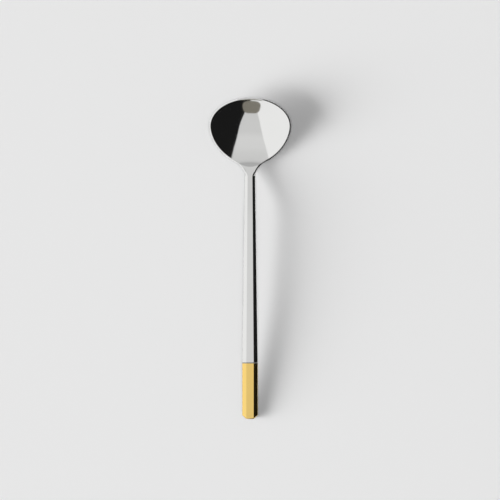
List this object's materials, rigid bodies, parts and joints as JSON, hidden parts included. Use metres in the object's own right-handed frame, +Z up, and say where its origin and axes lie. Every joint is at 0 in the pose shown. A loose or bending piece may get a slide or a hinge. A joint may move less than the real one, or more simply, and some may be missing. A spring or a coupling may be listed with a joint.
{
  "type": "ice cream spoon",
  "caption": "One-piece steel ice cream spoon with a wide short bowl, a flat neck and a flattened six-sided handle that ends in a gilded length.",
  "frame": {"origin": "on the table, under the middle of the spoon's length, as it lies at rest with the bowl open upwards", "axes": "+Z up out of the hollow, +Y along the handle towards the tip of the bowl, +X across the bowl"},
  "size_m": [0.0382, 0.15, 0.0126],
  "materials": {
    "steel": "mirror polished stainless steel, with gold plating over the last 26 mm of the handle"
  },
  "bodies": {
    "root": {"spoon": "steel"}
  },
  "joints": []
}
